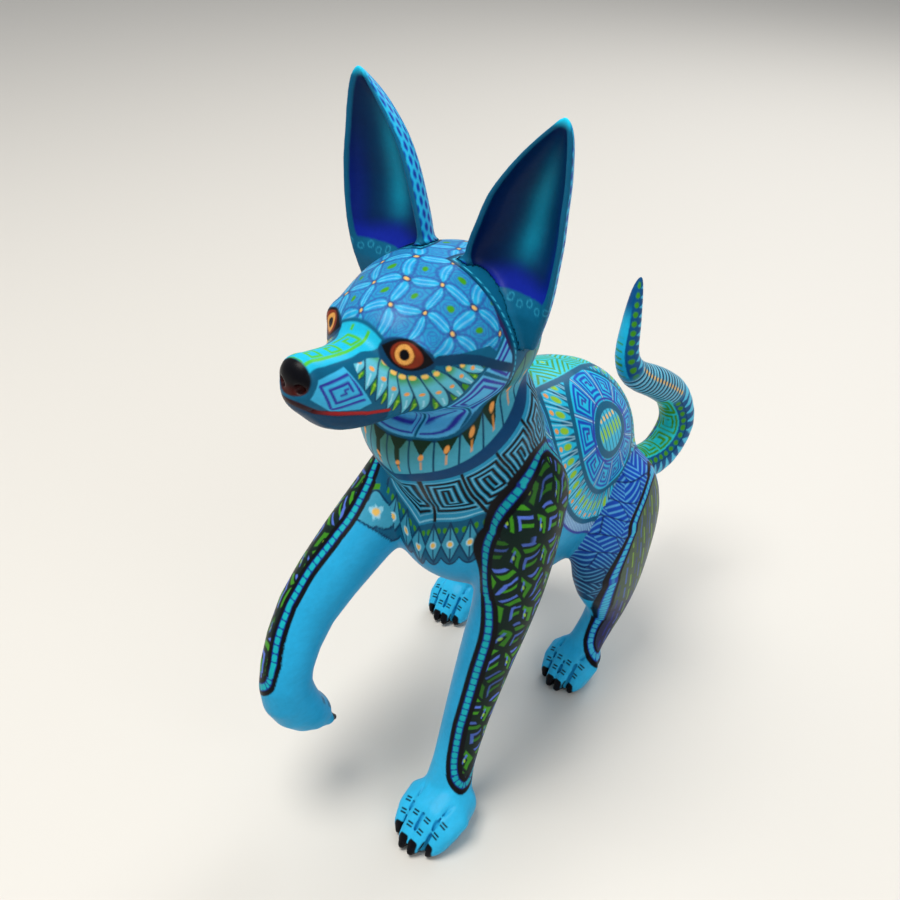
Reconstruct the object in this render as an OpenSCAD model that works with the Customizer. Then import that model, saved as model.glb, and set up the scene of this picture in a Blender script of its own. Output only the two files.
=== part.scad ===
// Carved and painted wooden dog: a hairless Mexican dog that stands on three paws and lifts the fourth.
// Six blocks are glued and doweled into one body. Two ears and the tail are push-fit plugs.
// The dog faces -Y, its left side is +X, and the floor is z = 0.

/* [Torso] */
// Half width of the rib cage
rib_w = 33; // [30:1:35]
// Height of the spine line above the floor at mid body
spine_z = 178; // [175:1:180]
/* [Dowels] */
// Radius of the glued dowels in the neck, shoulders and hips
dowel_r = 4; // [3:0.5:4.5]
// Glue gap round each dowel
glue_gap = 0.05; // [0.03:0.01:0.1]
/* [Plugs] */
// Radius of the plug under each ear
ear_plug_r = 3.5; // [3:0.25:3.75]
// Depth of the plug under each ear
ear_plug_h = 14; // [11:1:15]
// Radius of the tail's plug
tail_plug_r = 4; // [3.5:0.25:4.5]
// Depth of the tail's plug
tail_plug_h = 16; // [12:1:18]
// Radial clearance of the push-fit plugs in their sockets
plug_gap = 0.08; // [0.06:0.01:0.12]
/* [Ears] */
// Gap between a seated ear or tail and the wood it sits on
seat_gap = 0.3; // [0.2:0.05:0.4]
// Thickness of the ear's rim
rim_t = 2.2; // [1.8:0.1:2.6]
/* [Detail] */
// Points round each ring of the torso and head
round_n = 28; // [24:2:30]
// Points round each ring of a leg or the tail
limb_n = 18; // [16:1:20]

/* [Hidden] */
// Moves the drawing so that the origin is under the middle of the whole dog
shift = [8.85, -14.3, 0];

// ---- curves ----
function unit(v) = v / norm(v);
// One point of a Catmull-Rom curve between b and c
function blend4(a, b, c, d, t) =
    0.5 * (2 * b + (c - a) * t + (2 * a - 5 * b + 4 * c - d) * t * t + (3 * b - a - 3 * c + d) * t * t * t);
// A smooth row of stations through the keys, n steps between each pair
function smooth_row(keys, n) = let (last = len(keys) - 1) concat(
    [for (i = [0:last - 1]) for (j = [0:n - 1])
        blend4(keys[max(i - 1, 0)], keys[i], keys[i + 1], keys[min(i + 2, last)], j / n)],
    [keys[last]]);
function place(s) = [s[0], s[1], s[2]];
function heading(row, i) = unit(place(row[min(i + 1, len(row) - 1)]) - place(row[max(i - 1, 0)]));
// One ring round a station [x, y, z, side radius, first half radius, second half radius]
function ring(s, along, ref, n) = let (
        side = unit(ref - along * (ref * along)),
        over = cross(along, side))
    [for (k = [0:n - 1]) let (a = -360 * k / n)
        place(s) + side * s[3] * cos(a) + over * (sin(a) > 0 ? s[4] : s[5]) * sin(a)];
// A closed skin over rings that all hold n points
module skin(rings) {
    n = len(rings[0]);
    m = len(rings);
    wall = [for (i = [0:m - 2]) for (k = [0:n - 1]) let (
                a = i * n + k, b = i * n + (k + 1) % n, c = a + n, d = b + n)
            each [[a, b, c], [b, d, c]]];
    start_cap = [for (k = [1:n - 2]) [0, k + 1, k]];
    end_cap = [for (k = [1:n - 2]) [(m - 1) * n, (m - 1) * n + k, (m - 1) * n + k + 1]];
    polyhedron([for (r = rings) each r], concat(wall, start_cap, end_cap));
}
// A round limb through key stations
module limb(keys, steps, n = limb_n, ref = [1, 0, 0]) {
    row = smooth_row(keys, steps);
    skin([for (i = [0:len(row) - 1]) ring(row[i], heading(row, i), ref, n)]);
}
// Evaluates a union as one mesh. A resize to zero keeps every size.
module one_mesh() {
    resize([0, 0, 0]) union() { children(); }
}
// A round pin from a point along a direction
module pin(from, dir, r, h) {
    d = unit(dir);
    translate(from) rotate([0, acos(d[2]), atan2(d[1], d[0])]) cylinder(r = r, h = h, $fn = 32);
}

// ---- body: torso, neck and head are one carved flow that a glue joint splits ----
torso_keys = [
    [0, -57, 134, 6, 8, 8],
    [0, -53, 134, 19, 22, 26],
    [0, -42, 135, 28, 34, 40],
    [0, -17, 137, rib_w + 0.5, 50, 47],
    [0, 12, spine_z - 41, rib_w + 3, 61, 45.5],
    [0, 38, spine_z - 46, rib_w, 58, 40.5],
    [0, 57, 120, rib_w - 6, 40, 33],
    [0, 72, 110, 18, 24, 22],
    [0, 78, 104, 8, 10, 9]];
neck_keys = [
    [0, -16, 140, 33, 33, 33],
    [0, -26, 160, 33, 32, 32],
    [0, -34, 177, 34, 30, 35],
    [0, -40, 192, 35, 29, 37],
    [0, -44, 204, 28, 24, 31]];
head_keys = [
    [0, -10, 218, 6, 6, 8],
    [0, -15, 219, 20, 18, 20],
    [0, -28, 221, 31, 27, 27],
    [0, -46, 222, 34.5, 30, 27],
    [0, -62, 222, 32, 29, 24],
    [0, -75, 222.3, 27, 22.5, 20],
    [0, -86, 220, 17, 15.5, 18],
    [0, -97, 221, 12.5, 14, 16],
    [0, -107, 225.3, 10.3, 11, 12.3],
    [0, -114, 227.8, 8, 9.4, 8.6],
    [0, -117.5, 229, 4, 5.8, 5]];
// A low dome that carries each eye
module eye_dome(s) {
    limb([[s * 8, -74, 230, 8, 8, 8], [s * 17, -75, 231.5, 9, 8, 7.5], [s * 22, -77, 231.5, 6.5, 5, 5],
          [s * 24, -78, 231.5, 3, 2, 2]], 1, 10, [0, 1, 0]);
}
module body_form() {
    eye_dome(1);
    eye_dome(-1);
    limb(torso_keys, 3, round_n);
    limb(neck_keys, 3, round_n);
    limb(head_keys, 3, round_n);
}
// The glue plane follows the collar band: low at the throat and high at the nape
neck_lean = 50;
neck_seat = [0, -51, 159];
module above_collar() {
    translate(neck_seat) rotate([neck_lean, 0, 0]) translate([-60, -90, 0]) cube([120, 240, 150]);
}
neck_pin_at = [0, -33, 180];
neck_pin_dir = [0, -sin(neck_lean), cos(neck_lean)];
neck_pin_h = 36;
module neck_pin(r, extra) {
    pin(neck_pin_at - neck_pin_dir * (neck_pin_h / 2 + extra), neck_pin_dir, r, neck_pin_h + 2 * extra);
}
// Shoulder and hip pins run straight out to the side
side_pin_h = 20;
shoulder_pin = [16, -34, 144];
hip_pin = [14, 52, 114];
module side_pin(at, s, r, extra) {
    pin([s * (at[0] - extra), at[1], at[2]], [s, 0, 0], r, side_pin_h + 2 * extra);
}
// Ear plugs
ear_pin_at = [25, -36, 247];
ear_pin_dir = unit([0.25, 0, 1]);
module ear_pin(s, r, low) {
    at = ear_pin_at - ear_pin_dir * (ear_plug_h + 6 + low);
    pin([s * at[0], at[1], at[2]], [s * ear_pin_dir[0], 0, ear_pin_dir[2]], r, ear_plug_h + 8 + low);
}
// Tail plug
tail_pin_at = [2, 82, 98];
tail_pin_dir = unit([0.1, 1, -0.25]);
module tail_pin(r, low) {
    pin(tail_pin_at - tail_pin_dir * (tail_plug_h + 4 + low), tail_pin_dir, r, tail_plug_h + 8 + low);
}

module torso() color("deepskyblue") difference() {
    one_mesh() difference() {
        body_form();
        above_collar();
    }
    neck_pin(dowel_r + glue_gap, 1);
    side_pin(shoulder_pin, 1, dowel_r + glue_gap, 1);
    side_pin(shoulder_pin, -1, dowel_r + glue_gap, 1);
    side_pin(hip_pin, 1, dowel_r + glue_gap, 1);
    side_pin(hip_pin, -1, dowel_r + glue_gap, 1);
    tail_pin(tail_plug_r + plug_gap, 0.5);
}
module head() color("dodgerblue") difference() {
    one_mesh() intersection() {
        union() { body_form(); }
        above_collar();
    }
    neck_pin(dowel_r + glue_gap, 1);
    ear_pin(1, ear_plug_r + plug_gap, 0.5);
    ear_pin(-1, ear_plug_r + plug_gap, 0.5);
}

// ---- ears ----
// Height, inner rim x, outer rim x, rim y, depth of the back, depth of the hollow
ear_rows = [
    [226, 14, 39.5, -45, 12, 0.5],
    [238, 10, 43.8, -46.5, 15, 1],
    [247, 9, 46, -47, 16, 6],
    [256, 10, 47.2, -47, 15.5, 10.5],
    [266, 13.5, 48, -46.5, 15, 11.5],
    [275, 17, 48, -46, 14, 10.5],
    [283, 22, 47.8, -45, 12.5, 9],
    [290, 27.5, 47.4, -44.5, 10.5, 7],
    [296, 33, 46.8, -44, 8, 4.5],
    [301, 38, 45.8, -43.5, 4.5, 1.5],
    [304.8, 41.5, 44, -43, 1, 0.2]];
// The back leans this far towards the middle of the head
ear_lean = 2.7;
function ear_ring(e) = let (
        c = (e[1] + e[2]) / 2,
        a = (e[2] - e[1]) / 2,
        t = min(rim_t, a * 0.4),
        k = ear_lean * e[4] / 16)
    concat(
        [for (i = [0:12]) let (q = 15 * i)
            [c - a * cos(q) - k * sin(q), e[3] + e[4] * sin(q), e[0]]],
        [for (i = [0:9]) let (q = 180 - 20 * i)
            [c - (a - t) * cos(q) - k * sin(q) * e[5] / e[4], e[3] + e[5] * sin(q), e[0]]]);
module ear_form() {
    row = smooth_row(ear_rows, 2);
    skin([for (e = row) [for (p = ear_ring(e)) p]]);
}
module ear(s) union() {
    one_mesh() difference() {
        if (s > 0) ear_form();
        else mirror([1, 0, 0]) ear_form();
        translate([s * ear_pin_dir[0], 0, ear_pin_dir[2]] * seat_gap) body_form();
    }
    ear_pin(s, ear_plug_r, 0);
}
module ear_left() color("navy") ear(1);
module ear_right() color("navy") ear(-1);

// ---- tail ----
tail_keys = [
    [3, 72, 100, 8, 8, 8],
    [4, 84, 96, 9.5, 9.5, 9.5],
    [6, 104, 88, 9.5, 9.5, 9.5],
    [8, 126, 87, 9.5, 9.5, 9.5],
    [9, 138.5, 100.5, 9.5, 9.5, 9.5],
    [7, 133.5, 118, 9, 9, 9],
    [5, 117.5, 131.5, 8.5, 8.5, 8.5],
    [1.5, 99.5, 143, 7.5, 7.5, 7.5],
    [0.2, 91.5, 156, 6, 6, 6],
    [0.2, 91.5, 173, 4.8, 4.8, 4.8],
    [0.6, 92.2, 189, 3, 3, 3],
    [1.3, 93, 197.5, 1, 1, 1]];
module tail() color("teal") union() {
    one_mesh() difference() {
        limb(tail_keys, 3, 16);
        translate(tail_pin_dir * seat_gap) body_form();
    }
    tail_pin(tail_plug_r, 0);
}

// ---- legs ----
// One paw at the origin that points along -Y: half width and reach of the middle toes
module paw(w, far) {
    limb([[0, far * 0.8, 9, w * 0.5, 5, 11], [0, far * 0.6, 10, w * 0.75, 8, 14], [0, 2, 12, w * 0.95, 10, 16],
          [0, -far * 0.35, 10, w, 8, 14], [0, -far * 0.65, 8, w * 0.8, 5, 11]], 1, 17);
    for (i = [0:3]) {
        u = i - 1.5;
        reach = (i == 0 || i == 3) ? far * 0.8 : far;
        translate([u * w * 0.52, 0, 0]) rotate([0, 0, -u * 8]) toe(w * 0.27, reach);
    }
}
module toe(r, reach) {
    limb([[0, -reach * 0.2, 11, r, 3, 3], [0, -reach * 0.55, 9, r, 4.5, 8], [0, -reach * 0.85, 6, r, 4.5, 7.5],
          [0, -reach - 1, 4, r * 0.6, 2.5, 5], [0, -reach - 1.6, 4.5, 1.7, 1.6, 1.8],
          [0, -reach - 3, 3.3, 1.5, 1.4, 1.6], [0, -reach - 4.5, 1.6, 0.7, 0.7, 0.7]], 1, 9);
}
module below_floor() translate([-150, -200, -60]) cube([300, 400, 60]);
module leg(keys, paw_at, yaw, w, far) {
    one_mesh() difference() {
        union() {
            limb(keys, 2);
            translate([paw_at[0], paw_at[1], 0]) rotate([0, 0, yaw]) paw(w, far);
        }
        body_form();
        below_floor();
    }
}
front_left_keys = [
    [28, -20, 170, 6, 8, 8], [31, -24, 160, 12, 17, 17], [32.5, -30, 142, 13, 19, 19], [31.5, -36, 112, 13, 16.5, 16],
    [29, -46, 80, 11.5, 13.5, 13], [27.5, -56, 50, 10, 10.5, 10.5], [27.5, -64, 26, 9.5, 9.5, 9.5], [28, -68, 12, 11, 11, 11]];
hind_left_keys = [
    [22, 56, 130, 6, 8, 8], [27, 53, 121, 13, 20, 20], [31, 49, 102, 15, 31, 26], [32, 49, 80, 14, 32, 21],
    [31, 52, 58, 11.5, 22.5, 16.5], [28.5, 53, 38, 9, 12, 11.5], [25.5, 46, 22, 8.5, 8.5, 8.5], [23.5, 41, 10, 9, 9, 9]];
hind_right_keys = [
    [-22, 56, 130, 6, 8, 8], [-27, 53, 121, 13, 20, 20], [-32, 49, 102, 15, 26, 26], [-37, 49, 80, 13, 21, 21],
    [-42.5, 51, 58, 10.5, 15, 16], [-47.5, 49.5, 38, 8.5, 10, 11], [-50.5, 43.5, 22, 8.5, 8.5, 8.5], [-52, 38.5, 10, 9, 9, 9]];
front_right_keys = [
    [-25.5, -24, 163, 6, 8, 8], [-27, -30, 150, 12, 15, 17], [-28.5, -43, 134.5, 15, 15, 20], [-30.5, -66, 117.5, 14.5, 14, 17],
    [-32, -90, 98, 12.5, 12.5, 12.5], [-29, -105.5, 79, 11, 11, 11.5], [-26.5, -108, 65, 11, 11.5, 12],
    [-25, -102, 54, 11.5, 10, 10], [-24, -95, 49, 9, 7, 7], [-24, -92, 47, 4, 3, 3]];
module front_left_leg() color("skyblue") difference() {
    leg(front_left_keys, [30.5, -76], -2, 15.5, 19);
    side_pin(shoulder_pin, 1, dowel_r + glue_gap, 1);
}
module hind_left_leg() color("skyblue") difference() {
    leg(hind_left_keys, [23.5, 37.5], -4, 13.5, 15);
    side_pin(hip_pin, 1, dowel_r + glue_gap, 1);
}
module hind_right_leg() color("skyblue") difference() {
    leg(hind_right_keys, [-52.5, 35.5], 4, 13.5, 15);
    side_pin(hip_pin, -1, dowel_r + glue_gap, 1);
}
module front_right_leg() color("skyblue") difference() {
    one_mesh() difference() {
        limb(front_right_keys, 2);
        body_form();
    }
    side_pin(shoulder_pin, -1, dowel_r + glue_gap, 1);
}

// ---- dowels ----
module neck_dowel() color("burlywood") neck_pin(dowel_r, 0);
module shoulder_dowel_left() color("burlywood") side_pin(shoulder_pin, 1, dowel_r, 0);
module shoulder_dowel_right() color("burlywood") side_pin(shoulder_pin, -1, dowel_r, 0);
module hip_dowel_left() color("burlywood") side_pin(hip_pin, 1, dowel_r, 0);
module hip_dowel_right() color("burlywood") side_pin(hip_pin, -1, dowel_r, 0);

translate(shift) torso();
translate(shift) head();
translate(shift) ear_left();
translate(shift) ear_right();
translate(shift) tail();
translate(shift) front_left_leg();
translate(shift) front_right_leg();
translate(shift) hind_left_leg();
translate(shift) hind_right_leg();
translate(shift) neck_dowel();
translate(shift) shoulder_dowel_left();
translate(shift) shoulder_dowel_right();
translate(shift) hip_dowel_left();
translate(shift) hip_dowel_right();
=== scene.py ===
import math
from functools import partial

import bpy
import numpy as np
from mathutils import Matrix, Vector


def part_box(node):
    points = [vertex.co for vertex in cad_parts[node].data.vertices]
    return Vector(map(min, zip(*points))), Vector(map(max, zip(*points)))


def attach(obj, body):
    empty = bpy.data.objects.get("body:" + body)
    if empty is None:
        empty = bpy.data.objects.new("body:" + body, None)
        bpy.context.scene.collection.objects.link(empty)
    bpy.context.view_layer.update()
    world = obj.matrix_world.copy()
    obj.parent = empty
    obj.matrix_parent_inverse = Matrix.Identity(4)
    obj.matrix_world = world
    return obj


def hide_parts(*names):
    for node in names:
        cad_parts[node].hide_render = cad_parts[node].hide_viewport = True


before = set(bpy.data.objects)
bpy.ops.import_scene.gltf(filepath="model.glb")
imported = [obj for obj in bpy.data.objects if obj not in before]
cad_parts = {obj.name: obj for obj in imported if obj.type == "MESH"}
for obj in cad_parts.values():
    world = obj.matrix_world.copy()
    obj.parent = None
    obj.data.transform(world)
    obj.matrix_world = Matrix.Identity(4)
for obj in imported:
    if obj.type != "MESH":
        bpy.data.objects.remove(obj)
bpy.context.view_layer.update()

import openvdb as vdb
from mathutils import Matrix, Vector

# A hand-painted copal-wood dog. Its torso, head and legs are taken from the CAD as one smooth skin, which
# is carved further, painted point by point and cut up again into those pieces. The ears and the tail are
# pieces of their own, each on a bare wooden plug.


# ---------- the dog's own frame: millimetres, facing -Y, its left side at +X ----------
def middle(node):
    lo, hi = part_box(node)
    return np.array((lo + hi) / 2) * 1000


OFF = middle("neck_dowel") - np.array([0.0, -33.0, 180.0])


def soup(node):
    """A CAD node's triangle corners in the dog's frame."""
    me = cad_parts[node].data
    me.calc_loop_triangles()
    co = np.empty(len(me.vertices) * 3, np.float32)
    me.vertices.foreach_get("co", co)
    tri = np.empty(len(me.loop_triangles) * 3, np.int32)
    me.loop_triangles.foreach_get("vertices", tri)
    return co.reshape(-1, 3)[tri].astype(float) * 1000 - OFF


# samples on each side of a skin that hold its distance
REACH = 10


class Grid:
    """A block of distance samples h apart."""

    def __init__(self, lo, hi, h):
        self.h = h
        self.lo = np.floor(np.array(lo) / h).astype(int)
        self.dims = tuple(int(v) for v in np.ceil(np.array(hi) / h).astype(int) - self.lo)

    def node(self, name):
        pts = soup(name)
        tri = np.arange(len(pts), dtype=np.uint32).reshape(-1, 3)
        tf = vdb.createLinearTransform(voxelSize=self.h)
        g = vdb.FloatGrid.createLevelSetFromPolygons(pts, triangles=tri, transform=tf, halfWidth=REACH)
        a = np.full(self.dims, REACH * self.h, np.float32)
        g.copyToArray(a, ijk=tuple(int(v) for v in self.lo))
        return a

    def part(self, centre, half):
        a = np.clip(np.floor((np.array(centre) - half) / self.h).astype(int) - self.lo, 0, self.dims)
        b = np.clip(np.ceil((np.array(centre) + half) / self.h).astype(int) - self.lo, 0, self.dims)
        ax = [(np.arange(a[i], b[i]) + self.lo[i]) * self.h for i in range(3)]
        pts = np.stack(np.meshgrid(*ax, indexing="ij"), -1).astype(np.float32)
        return tuple(slice(a[i], b[i]) for i in range(3)), pts

    def sample(self, field, pts):
        q = pts / self.h - self.lo
        q = np.clip(q, 0, np.array(self.dims) - 1.001)
        i = q.astype(int)
        t = (q - i).astype(np.float32)
        out = 0
        for dx in (0, 1):
            for dy in (0, 1):
                for dz in (0, 1):
                    w = (t[..., 0] if dx else 1 - t[..., 0]) * (t[..., 1] if dy else 1 - t[..., 1])
                    w = w * (t[..., 2] if dz else 1 - t[..., 2])
                    out = out + w * field[i[..., 0] + dx, i[..., 1] + dy, i[..., 2] + dz]
        return out

    def quads(self, field):
        g = vdb.FloatGrid(REACH * self.h)
        g.copyFromArray(np.ascontiguousarray(field, np.float32), ijk=tuple(int(v) for v in self.lo))
        g.transform = vdb.createLinearTransform(voxelSize=self.h)
        p, q = g.convertToQuads(0.0)
        q = q.astype(np.int64)
        # every face is turned so that it looks out of the solid
        p = p.astype(np.float64)
        c = p[q].mean(1)
        n = np.cross(p[q[:, 2]] - p[q[:, 0]], p[q[:, 3]] - p[q[:, 1]])
        n /= np.linalg.norm(n, axis=1, keepdims=True) + 1e-12
        out = self.sample(field, c + n * 0.5 * self.h) < self.sample(field, c - n * 0.5 * self.h)
        if out.mean() > 0.5:
            q = q[:, ::-1]
        return p, q

    def normals(self, field, pts, step=1.2):
        slopes = [self.sample(field, pts + step * e) - self.sample(field, pts - step * e) for e in np.eye(3)]
        n = np.stack(slopes, -1)
        return n / (np.linalg.norm(n, axis=1, keepdims=True) + 1e-9)


def blur(a, s):
    r = int(3 * s + 0.5)
    w = np.exp(-0.5 * (np.arange(-r, r + 1) / s) ** 2)
    w /= w.sum()
    for ax in range(3):
        pad = [(0, 0)] * 3
        pad[ax] = (r, r)
        b = np.pad(a, pad, mode="edge")
        out = np.zeros_like(a)
        for i, wi in enumerate(w):
            sl = [slice(None)] * 3
            sl[ax] = slice(i, i + a.shape[ax])
            out += np.float32(wi) * b[tuple(sl)]
        a = out
    return a


def soft_min(a, b, k):
    hh = np.maximum(k - abs(a - b), 0) / k
    return np.minimum(a, b) - hh * hh * k * 0.25


def soft_max(a, b, k):
    return -soft_min(-a, -b, k)


def rod(pts, a, b, ra, rb):
    """Distance to a tapered round rod from a to b."""
    a, b = np.array(a, np.float32), np.array(b, np.float32)
    t = np.clip(((pts - a) @ (b - a)) / float((b - a) @ (b - a)), 0, 1)
    return np.linalg.norm(pts - a - t[..., None] * (b - a), axis=-1) - (ra + (rb - ra) * t)


def egg(pts, c, r):
    """Rough distance to an ellipsoid."""
    q = (pts - np.array(c, np.float32)) / np.array(r, np.float32)
    k = np.linalg.norm(q, axis=-1)
    return (k - 1) * min(r)


def turned(v, yaw):
    c, s = math.cos(math.radians(yaw)), math.sin(math.radians(yaw))
    return np.array([v[0] * c - v[1] * s, v[0] * s + v[1] * c, v[2]])


# ---------- paws: centre, yaw, half width, reach ----------
PAWS = {
    "front_left_leg": ((30.5, -76.0, 0.0), -2, 15.5, 19),
    "hind_left_leg": ((23.5, 37.5, 0.0), -4, 13.5, 15),
    "hind_right_leg": ((-52.5, 35.5, 0.0), 4, 13.5, 15),
}


def toes(name):
    """Base, knuckle, tip, claw root, claw tip and radius of each toe of a standing paw."""
    at, yaw, w, far = PAWS[name]
    out = []
    for i in range(4):
        u = i - 1.5
        reach = far * 0.8 if i in (0, 3) else far
        spread = turned((0, -1, 0), -u * 8)
        base = np.array([u * w * 0.52, 0, 0])
        pts = [base + spread * reach * t + np.array([0, 0, z]) for t, z in
               ((0.05, 12.0), (0.55, 9.6), (0.88, 4.8), (0.98, 4.4), (1.08, 2.6))]
        out.append([turned(p, yaw) + np.array(at) for p in pts] + [w * 0.27])
    return out


# the toes of the raised paw, which hangs back from the wrist
RAISED_AT = (-25, -98, 50)
RAISED = []
for x0, x1 in ((-31, -31.5), (-27, -27), (-22.5, -22.3), (-18.5, -17.8)):
    toe = (x0, -106, 56), (x0, -101, 50.5), (x1, -95, 46.5), (x1, -93.5, 46), (x1, -91.5, 44.5)
    RAISED.append([np.array(p, float) for p in toe] + [3.4])

# ---------- the carved block: torso, head and legs as one smooth skin ----------
LEGS = ["front_left_leg", "front_right_leg", "hind_left_leg", "hind_right_leg"]
PIECES = ["torso", "head"] + LEGS
TORSO, HEAD, FRONT_L, FRONT_R, HIND_L, HIND_R = range(6)
LEG_BLEND = 5.0
G = Grid((-70, -130, -6), (70, 96, 262), h=0.8)
raw = {n: G.node(n) for n in PIECES}
body = np.minimum(raw["torso"], raw["head"])
solid = body
for n in LEGS:
    solid = soft_min(solid, raw[n], LEG_BLEND)
fine = blur(solid, 1.4)
soft = blur(fine, 2.6)
x, y, z = np.meshgrid(*((np.arange(n) + lo) * G.h for n, lo in zip(G.dims, G.lo)), indexing="ij", sparse=True)
# broad forms are smoothed more than the paws, the raised wrist and the muzzle
wrist = np.hypot(np.hypot(x - RAISED_AT[0], y - RAISED_AT[1]), z - RAISED_AT[2])
w = np.clip((z - 16) / 12, 0, 1) * np.clip(wrist / 8 - 2.2, 0, 1) * np.clip((y + 84) / 14, 0, 1)
F = (fine * (1 - w) + soft * w).astype(np.float32)
del fine, soft, w, wrist
for name in PAWS:
    at, yaw, pw, far = PAWS[name]
    sl, pts = G.part(np.array(at) + (0, -far * 0.4, 12), np.array([pw + 8, far + 12, 16]))
    f = F[sl]
    toe = None
    for b, k, t, c0, c1, r in toes(name):
        one = soft_min(rod(pts, b, k, r, r), rod(pts, k, t, r, r * 0.8), 1.5)
        one = soft_min(one, rod(pts, c0, c1, 2.4, 1.7), 1.5)
        toe = one if toe is None else soft_min(toe, one, 0.8)
    # grooves run between the toes and up over the paw
    f = soft_min(f, toe, 1.5)
    for a, b in zip(toes(name)[:-1], toes(name)[1:]):
        mid = [(a[i] + b[i]) / 2 for i in range(3)]
        g = rod(pts, mid[0] + (0, 0, 6.5), mid[1] + (0, 0, 4.5), 0.4, 1.0)
        g = np.minimum(g, rod(pts, mid[1] + (0, 0, 4.5), mid[2] + (0, -3, -2.0), 1.0, 1.2))
        f = soft_max(f, -g, 1.6)
    F[sl] = soft_max(f, -pts[..., 2], 1.0)
sl, pts = G.part(RAISED_AT, np.array([14, 18, 18]))
f = F[sl]
for b, k, t, c0, c1, r in RAISED:
    f = soft_min(f, soft_min(rod(pts, b, k, r, r), rod(pts, k, t, r, r * 0.8), 1.5), 1.2)
    f = soft_min(f, rod(pts, c0, c1, 2.0, 1.4), 1.2)
F[sl] = f
# nose pad, nostrils and the groove of the mouth
LIPS = [(0, -117, 224, 0.4), (7.5, -113, 220.4, 0.6), (12, -97, 214.2, 0.6), (15.5, -88.5, 213, 0.4)]
sl, pts = G.part((0, -108, 222), np.array([22, 28, 22]))
f = F[sl]
f = soft_min(f, egg(pts, (0, -113, 231.3), (6.6, 4.5, 5.4)), 3.0)
for s in (1, -1):
    f = soft_max(f, -egg(pts, (s * 3.9, -117, 228.8), (2.0, 2.2, 1.6)), 1.0)
    for (ax, ay, az, ar), (bx, by, bz, br) in zip(LIPS, LIPS[1:]):
        f = soft_max(f, -rod(pts, (s * ax, ay, az), (s * bx, by, bz), ar, br), 0.8)
F[sl] = f
# sockets for the plugs of the ears and the tail, in a block that is kept unbored for their seats
F0 = F.copy()
EAR_DIR = np.array([0.25, 0, 1.0]) / math.hypot(0.25, 1)
TAIL_DIR = np.array([0.1, 1, -0.25]) / math.sqrt(1.0725)
EAR_AT, TAIL_AT = np.array([25, -36, 247.0]), np.array([2, 82, 98.0])
EAR_SOCKET_R, EAR_PLUG_R = 3.9, 3.5
TAIL_SOCKET_R, TAIL_PLUG_R = 4.4, 4.0
SOCKET_DEPTH, PLUG_LENGTH = 18, 20
for s in (1, -1):
    m = np.array([s, 1, 1])
    sl, pts = G.part(EAR_AT * m, np.array([16, 14, 30]))
    ends = (EAR_AT - EAR_DIR * SOCKET_DEPTH) * m, (EAR_AT + EAR_DIR * 8) * m
    bore = rod(pts, *ends, EAR_SOCKET_R, EAR_SOCKET_R)
    F[sl] = np.maximum(F[sl], -bore)
sl, pts = G.part(TAIL_AT, np.array([16, 30, 20]))
bore = rod(pts, TAIL_AT - TAIL_DIR * SOCKET_DEPTH, TAIL_AT + TAIL_DIR * 8, TAIL_SOCKET_R, TAIL_SOCKET_R)
F[sl] = np.maximum(F[sl], -bore)


# ---------- finer faces where the painting is ----------
def refine(p, q, pick):
    """Splits the picked quads in four; their neighbours take the new edge points as extra corners."""
    e = np.stack([q, np.roll(q, -1, axis=1)], -1)
    key = np.sort(e, -1).reshape(-1, 2)
    code = key[:, 0] * len(p) + key[:, 1]
    u, inv = np.unique(code, return_inverse=True)
    inv = inv.reshape(-1, 4)
    used = np.zeros(len(u), bool)
    used[inv[pick]] = True
    mid_at = np.cumsum(used) - 1 + len(p)
    ends = np.stack([u // len(p), u % len(p)], -1)[used]
    mids = p[ends].mean(1)
    cen = p[q[pick]].mean(1)
    cen_at = len(p) + len(mids) + np.arange(len(cen))
    pts = np.concatenate([p, mids, cen])
    m = mid_at[inv[pick]]
    qq = q[pick]
    fours = [np.stack([qq[:, k], m[:, k], cen_at, m[:, k - 1]], -1) for k in range(4)]
    fours = np.stack(fours, 1).reshape(-1, 4)
    rest = q[~pick]
    ri, ru = inv[~pick], used[inv[~pick]]
    plain = ~ru.any(1)
    loops = [fours.reshape(-1), rest[plain].reshape(-1)]
    sizes = [np.full(len(fours), 4), np.full(plain.sum(), 4)]
    edge = np.where(~plain)[0]
    ring = np.full((len(edge), 8), -1)
    ring[:, 0::2] = rest[edge]
    ring[:, 1::2] = np.where(ru[edge], mid_at[ri[edge]], -1)
    loops.append(ring[ring >= 0])
    sizes.append((ring >= 0).sum(1))
    other = np.where(~pick)[0]
    source = np.concatenate([np.repeat(np.where(pick)[0], 4), other[plain], other[edge]])
    return pts, np.concatenate(loops), np.concatenate(sizes), source


def close(loops, sizes, pts):
    """A fan over each open edge loop, so that the piece is a closed solid."""
    start = np.cumsum(sizes) - sizes
    nxt = np.arange(len(loops)) + 1
    nxt[start + sizes - 1] = start
    a, b = loops, loops[nxt]
    n = len(pts)
    fwd, back = a * n + b, b * n + a
    open_ = ~np.isin(fwd, back)
    a, b = a[open_], b[open_]
    root = {}

    def find(v):
        while root.setdefault(v, v) != v:
            root[v] = root[root[v]]
            v = root[v]
        return v

    for i, j in zip(a.tolist(), b.tolist()):
        root[find(i)] = find(j)
    group = np.array([find(i) for i in a.tolist()])
    tips, tris = [], []
    for k in np.unique(group):
        pick = group == k
        tips.append(pts[a[pick]].mean(0))
        tip = n + len(tips) - 1
        tris.append(np.stack([b[pick], a[pick], np.full(pick.sum(), tip)], -1))
    if not tips:
        return pts, loops, sizes
    tris = np.concatenate(tris)
    return (np.concatenate([pts, np.array(tips)]), np.concatenate([loops, tris.reshape(-1)]),
            np.concatenate([sizes, np.full(len(tris), 3)]))


def show(name, data):
    ob = bpy.data.objects.new(name, data)
    bpy.context.scene.collection.objects.link(ob)
    return ob


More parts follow.
